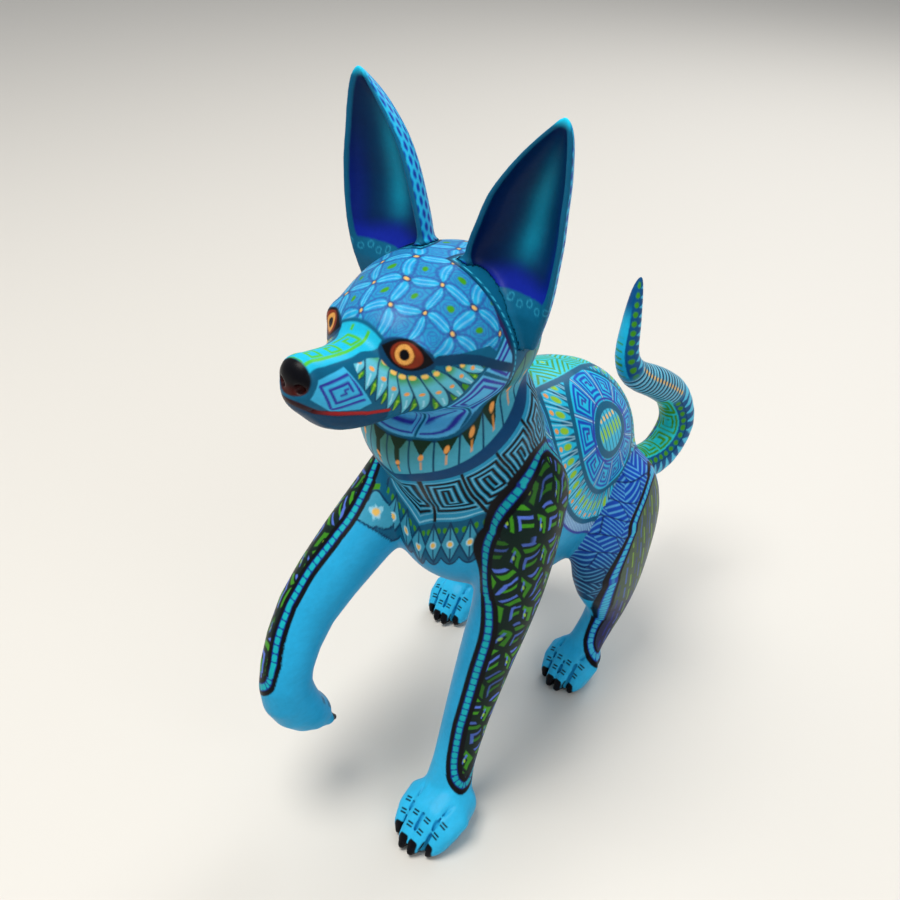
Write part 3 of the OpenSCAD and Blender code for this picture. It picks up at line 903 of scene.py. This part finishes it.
def flank(cv, own):
    """Rings about a medallion on each flank, and the strip along the spine."""
    at, put, x, y, z = cv.zone(own)
    sx = cv.p[at][:, 0]
    u = y - 32.0
    w = 35 * (np.arctan2(z - 134, x) - math.radians(32.3)) - 1.5
    r = np.hypot(u, w)
    deg = np.degrees(np.arctan2(w, -u))
    upper = cover(-w - 34)
    # shoulder and rump: step frets in violet on cyan
    outer = cover(RAYS - r) * cover(r - FRETS) * upper * cover(-22 - w)
    put(outer, "34aed2")
    q, _ = wrap(deg - 7, 16)
    arc = np.radians(q) * r
    cell = coil(9.5, 11, 2.3, 1)
    put(outer * drawn(arc, r - 49, cell, 0.6), "violet")
    put(outer * cover(spoke(q, 8, r) - 0.7), "teal")
    put(outer * cover(spoke(q, 8, r) - 0.25), "ice")
    # a hatched strip along the belly
    strip = cover(RAYS - r) * cover(r - STRIP) * cover(w + 16)
    put(strip, "5f7fc0")
    h, _ = wrap(deg + r * 1.5, 2.4)
    put(strip * cover(spoke(h, 0, r) - 0.35), "ice")
    put(stroke(r - 46.3, 0.6) * cover(w + 16), "violet")
    # rays between two teal rings
    rays = cover(r - RAYS) * cover(DISC - r)
    put(rays, "1fb6da")
    q, _ = wrap(deg, 9)
    arc = np.radians(q) * r
    tooth = abs(abs(arc) - np.radians(4.5) * r) - np.clip((36 - r) * 0.22, 0.3, 1.6)
    put(rays * cover(tooth), "teal")
    put(rays * cover(np.hypot(arc / 1.15, (r - 33.5) / 2.4) * 1.15 - 1.15), "lime")
    put(rays * spot(arc, (r - 37.8) / 1.2, 0.85), "orange")
    put(rays * stroke(abs(arc) - 1.9, 0.22) * 0.7, "ice")
    put(stroke(r - 40.8, 1.2), "teal")
    # the medallion: a ring of fret cells round an oval
    put(cover(r - DISC), "teal")
    cells = cover(r - CELLS) * cover(OVAL - np.hypot(u * 0.86, w * 1.08))
    put(cells, "1fb9e0")
    q, _ = wrap(deg - 12, 36)
    arc = np.radians(q) * r
    mid = r - 19.2
    skew = arc * 19 / np.maximum(r, 8)
    put(cells * cover(spoke(q, 18, r) - 0.75), "violet")
    put(cells * cover(spoke(q, 18, r) - 0.25), "ice")
    put(cells * stroke(np.hypot(u * 0.86, w * 1.08) - OVAL - 1, 0.5), "violet")
    put(cells * drawn(skew, mid, coil(8.8, 9.6, 1.9, 1), 0.55), "blue")
    put(cells * drawn(skew, mid, [(-0.9, 1), (0.9, 1), (0.9, -0.7), (2.2, -0.7)], 0.45), "violet")
    oval = np.hypot(u / 10.6, w / 8.4)
    put(cover((oval - 1.22) * 9), "teal")
    put(cover((oval - 1) * 9), "aqua")
    q, _ = wrap(u + w * 0.12, 3.1)
    put(cover((oval - 1) * 9) * stroke(abs(q) - 1.55, 0.3), "teal")
    put(cover((oval - 0.95) * 9) * spot(q, (w - 0.5) / 3.2, 0.9), "lime")
    put(cover((oval - 0.97) * 9) * spot(q, (w - 5.8) / 1.3, 0.8), "gold")
    # the strip along the spine: nested green lozenges on cyan
    half = 11 - ease(y, 12, 62) * 7.5
    spine = np.maximum(x - half, 150 - z)
    put(cover(spine - 2.6), "teal")
    put(cover(spine), "25c3d8")
    q, _ = wrap(y + 4, 24)
    nest = (abs(sx) / half + abs(q) / 12) * 9
    band, _ = wrap(nest + np.where(sx * q > 0, 0.6, 0), 2.9)
    put(cover(spine + 0.5) * stroke(band, 0.62), "green")
    put(cover(spine + 0.5) * spot(sx, q, 1.1), "lime")


# outlines of the legs' panels: place round the leg from its outer side, and run along it
ARCH_LEFT = [(-20, 22), (-6, 13), (10, 10.5), (20, 13), (24, 23), (28, 31), (32.5, 39), (35.5, 46),
             (36, 54), (35, 62), (33, 70), (29.5, 78), (25, 86), (21.6, 96), (20, 109), (18.3, 125),
             (16.6, 140), (15.5, 152), (13.5, 165), (9.5, 173.5), (3, 178), (-5, 174), (-11, 158),
             (-14, 138), (-17, 112), (-20, 86), (-25, 60), (-26, 38)]
ARCH_RIGHT = [(-18, 26), (-4, 17), (10, 18), (20, 28), (26, 46), (29.5, 66), (28.8, 78), (26.5, 88),
              (24.3, 98), (23.8, 108), (22.8, 118), (22.8, 128), (24, 136), (21, 142), (12, 146), (0, 145),
              (-9, 136), (-15, 114), (-19, 84), (-22, 55)]
THIGH = [(-17, 15), (-6, 17), (4, 22), (14, 31), (20, 41), (23, 56), (22, 70), (19, 86), (16, 104),
         (14, 119), (7, 131), (-2, 133), (-8, 126), (-11, 108), (-15, 88), (-21, 66), (-25, 44), (-24, 26)]
ARCH_LEFT, ARCH_RIGHT, THIGH = rounded(ARCH_LEFT), rounded(ARCH_RIGHT), rounded(THIGH)


def paint_skin(cv, owner):
    """Paints the carved block. A point's owner is its piece's place in PIECES."""
    x, y, z = cv.p.T
    put = cv.on()
    torso, leg = owner == TORSO, owner > HEAD
    flank(cv, (owner != HEAD) & (y > -34) & (z > 80))
    put(cover(z - 98 - abs(y - 10) * 0.12) * torso, "sky")
    # painted shade: the torso is darkened with teal towards the belly, standing in for the shade under the
    # body
    put(torso * ease(-z, -122, -98) * 0.45, "teal")
    put(leg * (1 - ease(z, 18, 60)) * 0.6, "31b8e6")
    face(cv, owner == HEAD)
    neck(cv, (owner < HIND_L) & (z > 104) & (y < 26) & ((owner != HEAD) | (z < 226)), leg * 1.0)
    leg_panel(cv, (owner == FRONT_L) | (torso & (x > 12)), FRONT_LEFT, 1, ARCH_LEFT)
    leg_panel(cv, (owner == FRONT_R) | (torso & (x < -12)), FRONT_RIGHT, -1, ARCH_RIGHT)
    leg_panel(cv, owner == HIND_L, HIND_LEFT, 1, THIGH, True)
    leg_panel(cv, owner == HIND_R, HIND_RIGHT, -1, THIGH, True)
    paws(cv)


def paint_ear(cv):
    x, y, z = cv.side, cv.p[:, 1], cv.p[:, 2]
    a, b, rim, depth = ear_row(z)
    x = x + 2.7 * depth / 16 * np.clip((y - rim) / depth, 0, 1)
    f = (x - a) / (b - a)
    round_ = np.hypot((f - 0.5) * 2, np.maximum(y - rim, 0) / depth)
    put = cv.on()
    cv.c[:] = rgb("23b0da")
    # the back: columns of dark blue dashes
    turn = np.arctan2(y - rim, (f - 0.5) * depth * 2) * 15
    u, k = wrap(turn, 2.7)
    v, _ = wrap(z + (k % 2) * 2.1, 4.2)
    put(spot(u, v * 0.62, 0.95), "blue")
    put(spot(u, v * 0.62, 0.45) * 0.6, "navy")
    # the hollow, darkest at its edges, with a painted highlight as a teal stripe down its middle and a blue
    # floor
    hollow = cover((round_ - 0.9) * 8) * (y > rim + 0.2) * (z > 242) * (z < 303)
    painted_highlight = (np.exp(-((f - 0.54) / 0.12) ** 2) * ease(z, 249, 262) * (1 - ease(z, 276, 296)))[:, None] * 0.9
    haze = (np.exp(-((f - 0.54) / 0.27) ** 2) * ease(z, 247, 258) * (1 - ease(z, 290, 303)))[:, None]
    tone = rgb("021a4c") * (1 - haze * 0.8) + rgb("04456a") * haze * 0.8
    tone = tone * (1 - painted_highlight) + rgb("0f8fae") * painted_highlight
    low = 1 - ease(z + 8 * abs(f - 0.5), 247, 255) + 0.6 * ease(f, 0.78, 0.95) * (1 - ease(z, 264, 290))
    low = np.clip(low, 0, 1)[:, None] * 0.8
    tone = tone * (1 - low) + rgb("10249a") * low
    put(hollow, tone)
    put(stroke(y - rim - 0.3, 1.1) * (cv.n[:, 1] < 0.1), "0a587a")
    put(ease(z, 300, 303.5), "cyan")
    # faint curls on the teal foot of the ear
    foot = cover(z - 244.5) * (cv.n[:, 1] < 0.2)
    put(foot, "teal")
    u, k = wrap(cv.side, 4.0)
    curl = abs(np.hypot(u, z - 241.5 - (k % 2) * 1.2) - 1.1) - 0.2
    put(foot * cover(curl) * 0.4, "aqua")


# places along the tail where its bend begins and ends
BEND, UPRIGHT = 94, 136


def paint_tail(cv):
    put = cv.on()
    t, a, _ = round_limb(cv.p, TAIL, 1)
    rad = np.interp(t, [0, 90, 150, 200], [9.5, 9.2, 7, 2])
    phi = a / np.maximum(rad, 1)
    cv.c[:] = rgb("37a8c8")
    first = 1 - ease(t, BEND, BEND + 4)
    last = ease(t, UPRIGHT, UPRIGHT + 4)
    mid = ease(t, BEND, BEND + 4) * (1 - last)
    up = abs(np.arctan2(np.sin(phi + np.pi / 2), np.cos(phi + np.pi / 2)) * rad)
    side = np.sign(np.sin(phi + np.pi / 2))
    # hoops with gold dots over the bend
    v, _ = wrap(t, 2.8)
    put(mid, "deep")
    put(mid * stroke(v, 0.75), "58b4d2")
    put(mid * stroke(v + 0.5, 0.16), "ice")
    put(mid * spot(v / 0.9, (up - rad * 1.75) / 1.4, 0.8), "gold")
    # key pattern on the inner side of the lower part
    keyed = cover(up - 8.2) * (1 - ease(t, 102, 105))
    put(keyed, "25c3c8")
    v, k = wrap(np.interp(t, [0, 55, 104], [0, 55, 85]) - 7, 12)
    flip = np.where(k % 2 == 0, 1, -1)
    put(keyed * drawn(v, up * side * flip, coil(9.6, 12, 2.4, 1), 0.7), "green")
    # on each flank a dark strip of green drops, and teeth beyond it
    lower = cover(7.6 - up) * first
    put(lower, "cobalt")
    v, _ = wrap(t, 5.2)
    put(lower * cover(np.hypot(v / 1.9, (up - 10.2) / 1.5) * 1.4 - 1.4), "green")
    put(lower * stroke(v + 1.2, np.clip((up - 12) * 0.34, 0, 2.2)) * cover(12 - up), "surf")
    put(lower * stroke(up - 12.3, 0.3), "deep")
    # the upright end: a cyan facet between the same strips, dark to the tip
    put(last, "cobalt")
    facet = cover(up - rad * 0.5) * (1 - ease(t, 164, 176))
    put(last * facet, "22b4dc")
    v, _ = wrap(t, 3.1)
    put(last * facet * stroke(v, 0.4) * cover(up - rad * 0.3) * (1 - ease(t, 154, 160)), "green")
    v, _ = wrap(t, 4.6)
    put(last * cover(np.hypot(v / 1.5, (up - rad * 0.92) / (rad * 0.2 + 0.3)) * 1.3 - 1.3), "green")
    put(last * stroke(v + 1, np.clip((up - rad * 1.25) * 0.5, 0, 2)) * cover(rad * 1.25 - up), "surf")
    put(ease(t, 183, 190) * 0.8, "deep")


# ---------- the carved block's pieces ----------
p, q = G.quads(F)
cen = p[q].mean(1)
NECK_AT, NECK_TILT = np.array([0, -51.0, 159.0]), math.radians(50)
above = (cen - NECK_AT) @ (0, -math.sin(NECK_TILT), math.cos(NECK_TILT)) > 0
core = G.sample(body, cen)
dist = [np.where(above, 99, core), np.where(above, core, 99)] + [G.sample(raw[n], cen) for n in LEGS]
dist = np.stack(dist, 1)
owner = dist.argmin(1)
del raw, body, solid
outward = np.cross(p[q[:, 2]] - p[q[:, 0]], p[q[:, 3]] - p[q[:, 1]])
outward /= np.linalg.norm(outward, axis=1, keepdims=True) + 1e-9
# fine faces above the belly, on the legs' outer sides and on the paws
sign = np.where(cen[:, 0] > 0, 1, -1)
fancy = (owner <= HEAD) & (cen[:, 2] > 92)
fancy |= (owner > HEAD) & ((outward[:, 0] * sign > -0.35) | (cen[:, 2] < 26))
pts, loops, sizes, source = refine(p, q, fancy)
face_owner = owner[source]
point_owner = np.zeros(len(pts), int)
point_owner[loops] = np.repeat(face_owner, sizes)
nrm = G.normals(F, pts)
cv = Canvas(pts, nrm)
paint_skin(cv, point_owner)


class Nodes:
    """A material's node tree, with short ways to add and join its nodes."""

    def __init__(self, name):
        self.material = bpy.data.materials.new(name)
        self.material.use_nodes = True
        self.tree = self.material.node_tree
        self.surface = self.tree.nodes["Principled BSDF"]

    def fill(self, node, **values):
        for key, value in values.items():
            node.inputs[key.replace("_", " ")].default_value = value
        return node

    def add(self, kind, **values):
        return self.fill(self.tree.nodes.new("ShaderNode" + kind), **values)

    def join(self, a, out, b, into):
        self.tree.links.new(a.outputs[out], b.inputs[into])


def painted(name):
    """Thick hand-brushed acrylic under a coat of varnish, over a knife-carved surface."""
    m = Nodes(name)
    paint = m.add("Attribute")
    paint.attribute_name = "paint"
    place = m.add("TexCoord")
    stretch = m.add("Mapping", Scale=(1.0, 0.35, 1.0))
    wash = m.add("TexNoise", Scale=55.0, Detail=5.0, Roughness=0.6)
    brush = m.add("TexNoise", Scale=620.0, Detail=3.0, Roughness=0.65)
    carve = m.add("TexNoise", Scale=75.0, Detail=2.0, Roughness=0.5)
    for node in (wash, stretch, carve):
        m.join(place, "Object", node, "Vector")
    m.join(stretch, "Vector", brush, "Vector")
    # the colour varies with the wash and with the brush's streaks
    tone = m.add("MapRange", To_Min=0.8, To_Max=1.16)
    fleck = m.add("MapRange", To_Min=0.86, To_Max=1.12)
    both = m.add("Math")
    both.operation = "MULTIPLY"
    shade = m.add("VectorMath")
    shade.operation = "SCALE"
    m.join(wash, "Fac", tone, "Value")
    m.join(brush, "Fac", fleck, "Value")
    m.join(tone, "Result", both, 0)
    m.join(fleck, "Result", both, 1)
    m.join(paint, "Color", shade, 0)
    m.join(both, "Value", shade, "Scale")
    m.join(shade, "Vector", m.surface, "Base Color")
    rough = m.add("MapRange", To_Min=0.26, To_Max=0.5)
    m.join(wash, "Fac", rough, "Value")
    m.join(rough, "Result", m.surface, "Roughness")
    # relief: fine from the brush, wide from the knife
    fine = m.add("Bump", Strength=0.22, Distance=0.0002)
    wide = m.add("Bump", Strength=0.3, Distance=0.0009)
    m.join(brush, "Fac", fine, "Height")
    m.join(carve, "Fac", wide, "Height")
    m.join(fine, "Normal", wide, "Normal")
    m.join(wide, "Normal", m.surface, "Normal")
    m.fill(m.surface, Coat_Weight=0.02, Coat_Roughness=0.22, Specular_IOR_Level=0.09)
    return m.material


def bare_wood():
    m = Nodes("bare_copal")
    place = m.add("TexCoord")
    stretch = m.add("Mapping", Scale=(1.0, 1.0, 0.12))
    grain = m.add("TexNoise", Scale=420.0, Detail=6.0)
    ramp = m.add("ValToRGB")
    for element, at, ink in zip(ramp.color_ramp.elements, (0.32, 0.7), ("b08a56", "e6cda0")):
        element.position = at
        element.color = (*rgb(ink), 1)
    bump = m.add("Bump", Strength=0.35, Distance=0.0003)
    m.join(place, "Object", stretch, "Vector")
    m.join(stretch, "Vector", grain, "Vector")
    m.join(grain, "Fac", ramp, "Fac")
    m.join(ramp, "Color", m.surface, "Base Color")
    m.join(grain, "Fac", bump, "Height")
    m.join(bump, "Normal", m.surface, "Normal")
    m.fill(m.surface, Roughness=0.7)
    return m.material


PAINTED, WOOD = painted("painted_copal"), bare_wood()
start = np.cumsum(sizes) - sizes
for k, n in enumerate(PIECES):
    mine = face_owner == k
    lp = loops[np.repeat(mine, sizes)]
    used, inv = np.unique(lp, return_inverse=True)
    pp, ll, ss = close(inv.reshape(-1), sizes[mine], pts[used])
    extra = len(pp) - len(used)
    nn = np.concatenate([nrm[used], np.tile([0, 0, 1.0], (extra, 1))])
    cc = np.concatenate([cv.c[used], np.tile(INK["wood"], (extra, 1))])
    ob = make_mesh("painted_" + n, pp, ll, ss, cc, nn)
    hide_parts(n)
    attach(ob, "body")


# ---------- ears and tail: each a piece of its own on a bare wooden plug ----------
# the carved block's seats are looked for below and before these places only
SEAT_TOP, SEAT_BACK = 258, 92


def plugged(name, body_name, lo, hi, h, smooth, plug, painter):
    """A part seated on the block: its foot is fitted to the block's surface, with the plug below it."""
    g = Grid(lo, hi, h)
    part = blur(g.node(name), smooth / h)
    at = g.part((np.array(lo) + hi) / 2, (np.array(hi) - lo) / 2 + 5)[1]
    seat = G.sample(F0, at)
    seat[(at[..., 2] > SEAT_TOP) | (at[..., 1] > SEAT_BACK)] = 9
    part = np.maximum(soft_min(part, seat, 3.5), 0.15 - seat)
    end, root, r = plug
    pin = rod(at, end, root, r, r)
    pin = np.maximum(pin, (end - at) @ ((root - end) / np.linalg.norm(root - end)))
    part = np.minimum(part, pin)
    p, q = g.quads(part)
    n = g.normals(part, p, 0.9)
    cv = Canvas(p, n)
    painter(cv)
    # the rim of the foot is painted, its underside and the plug are bare wood
    put = cv.on()
    gap = G.sample(F0, p)
    low = (p[:, 2] < SEAT_TOP) & (p[:, 1] < SEAT_BACK)
    axis = rod(p, end, root, r, r)
    under = low * (G.sample(F0, p + 1.5 * n) < gap - 0.8)
    put(cover(gap - 0.5) * under, "teal")
    put(cover(gap - 0.9) * low * cover(axis - 3.0) * (under | (gap < -0.5)), "wood")
    ob = make_mesh("carved_" + name, p, q.reshape(-1), np.full(len(q), 4), cv.c, n)
    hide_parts(name)
    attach(ob, body_name)


for s, name, rider in ((1, "ear_left", "left_ear"), (-1, "ear_right", "right_ear")):
    m = np.array([s, 1, 1])
    xs = sorted((s * 3, s * 53))
    plug = (EAR_AT - EAR_DIR * PLUG_LENGTH) * m, (EAR_AT - EAR_DIR * 4) * m, EAR_PLUG_R
    plugged(name, rider, (xs[0], -68, 222), (xs[1], -20, 309), 0.55, 0.75, plug, paint_ear)
plug = TAIL_AT - TAIL_DIR * PLUG_LENGTH, TAIL_AT + TAIL_DIR * 8, TAIL_PLUG_R
plugged("tail", "tail", (-16, 56, 72), (26, 156, 202), 0.6, 1.0, plug, paint_tail)
for name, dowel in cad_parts.items():
    if "dowel" in name:
        dowel.data.materials.clear()
        dowel.data.materials.append(WOOD)


# ---------- floor, light and camera ----------
def look(loc, right, up, back):
    m = Matrix((right, up, back)).transposed().to_4x4()
    m.translation = loc
    return m


A, T, ROLL = math.radians(39.5), math.radians(34.0), math.radians(1.7)
back = np.array([math.sin(A) * math.cos(T), -math.cos(A) * math.cos(T), math.sin(T)])
right = np.cross(-back, [0, 0, 1])
right /= np.linalg.norm(right)
up = np.cross(right, -back)
right, up = math.cos(ROLL) * right + math.sin(ROLL) * up, -math.sin(ROLL) * right + math.cos(ROLL) * up
eye = (np.array([210.0, -293.9, 388.8]) + OFF) / 1000
cam = bpy.data.cameras.new("camera")
cam.lens, cam.sensor_width = 40.78, 36.0
cam.clip_start, cam.clip_end = 0.02, 20
camera = show("camera", cam)
camera.matrix_world = look(Vector(eye), Vector(right), Vector(up), Vector(back))
bpy.context.scene.camera = camera

me = bpy.data.meshes.new("floor")
me.from_pydata([(-6, -6, 0), (6, -6, 0), (6, 6, 0), (-6, 6, 0)], [], [(0, 1, 2, 3)])
pale = Nodes("floor")
pale.fill(pale.surface, Base_Color=(0.64, 0.615, 0.57, 1), Roughness=0.6)
me.materials.append(pale.material)
show("floor", me)

world = bpy.data.worlds.new("studio")
world.use_nodes = True
sky = world.node_tree.nodes["Background"]
sky.inputs["Color"].default_value = (0.93, 0.96, 1.0, 1)
sky.inputs["Strength"].default_value = 0.42
bpy.context.scene.view_settings.view_transform = "Standard"
bpy.context.scene.world = world


def area(name, loc, target, size, power, colour):
    li = bpy.data.lights.new(name, "AREA")
    li.shape = "DISK"
    li.size, li.energy, li.color = size, power, colour
    turn = (Vector(loc) - Vector(target)).to_track_quat("Z", "Y").to_matrix().to_4x4()
    show(name, li).matrix_world = Matrix.Translation(loc) @ turn


area("key", (-0.2, -0.5, 1.65), (0, 0, 0.12), 0.9, 26, (1.0, 0.97, 0.92))
area("fill", (1.3, -0.4, 0.9), (0, 0, 0.12), 1.2, 6, (0.92, 0.96, 1.0))
area("rim", (-0.2, 1.3, 1.1), (0, 0, 0.12), 0.8, 10, (1.0, 1.0, 1.0))
